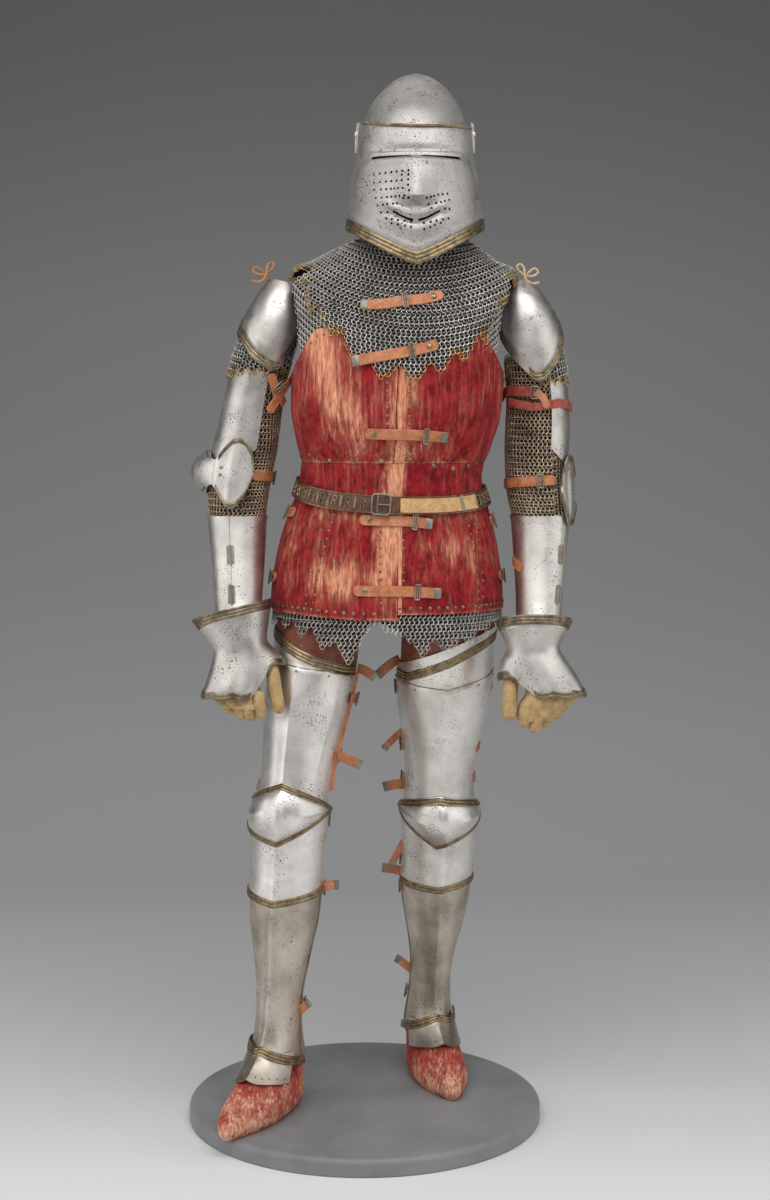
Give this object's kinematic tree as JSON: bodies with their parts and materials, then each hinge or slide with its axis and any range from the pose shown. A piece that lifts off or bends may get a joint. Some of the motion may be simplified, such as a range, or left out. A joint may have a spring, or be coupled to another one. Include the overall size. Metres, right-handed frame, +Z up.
{
  "type": "suit of plate armour on a round base",
  "caption": "Hollow knight's armour with hinged pointed visor, mail cape, riveted velvet coat, plate limbs, gauntlets and pointed shoes, standing on a round base",
  "frame": {"origin": "middle of the round base's underside", "axes": "+Z up through the helmet, -Y out of the front of the suit, +X towards the wearer's left"},
  "size_m": [0.6661, 0.6, 1.757],
  "materials": {
    "steel": "polished long ago, pitted and spotted",
    "brass": "dull, browned",
    "velvet": "red pile worn down to tan threads in streaks",
    "mail": "linked iron rings, brass rings at the edges",
    "strap_leather": "reddish tan, worn",
    "red_leather": "dark red-brown, cracked",
    "buff_leather": "soft, matt",
    "stand": "painted grey, satin"
  },
  "bodies": {
    "rest": {"ankle_plate_left": "steel", "ankle_plate_right": "steel", "base": "stand", "belt": "red_leather", "coat_back": "velvet", "coat_breast_left": "velvet", "coat_breast_right": "velvet", "elbow_left": "steel", "elbow_right": "steel", "elbow_strap_left": "strap_leather", "elbow_strap_right": "strap_leather", "forearm_inner_left": "steel", "forearm_inner_right": "steel", "forearm_outer_left": "steel", "forearm_outer_right": "steel", "front_strap_1": "strap_leather", "front_strap_2": "strap_leather", "front_strap_3": "strap_leather", "front_strap_4": "strap_leather", "front_strap_5": "strap_leather", "gauntlet_left": "steel", "gauntlet_right": "steel", "glove_left": "buff_leather", "glove_right": "buff_leather", "glove_thumb_left": "buff_leather", "glove_thumb_right": "buff_leather", "helmet_skull": "steel", "knee_left": "steel", "knee_lower_left": "steel", "knee_lower_right": "steel", "knee_right": "steel", "mail_cap_left": "mail", "mail_cap_right": "mail", "mail_cape": "mail", "mail_shoulder_left": "mail", "mail_shoulder_right": "mail", "mail_skirt": "mail", "mail_sleeve_left": "mail", "mail_sleeve_right": "mail", "shin_back_left": "steel", "shin_back_right": "steel", "shin_front_left": "steel", "shin_front_right": "steel", "shoe_left": "velvet", "shoe_right": "velvet", "shoulder_plate_left": "steel", "shoulder_plate_right": "steel", "skirt_back": "velvet", "skirt_front_left": "velvet", "skirt_front_right": "velvet", "skirt_side_left": "velvet", "skirt_side_right": "velvet", "thigh_leather_left": "red_leather", "thigh_leather_right": "red_leather", "thigh_plate_left": "steel", "thigh_plate_right": "steel", "upper_arm_left": "steel", "upper_arm_right": "steel"},
    "visor": {"visor": "steel", "visor_border": "brass"}
  },
  "joints": [
    {"name": "visor_hinge", "type": "hinge", "parent": "rest", "child": "visor", "pos_m": [0.084, 0.048, 1.655], "axis": [-1, 0, 0], "range_deg": [0, 55]}
  ]
}
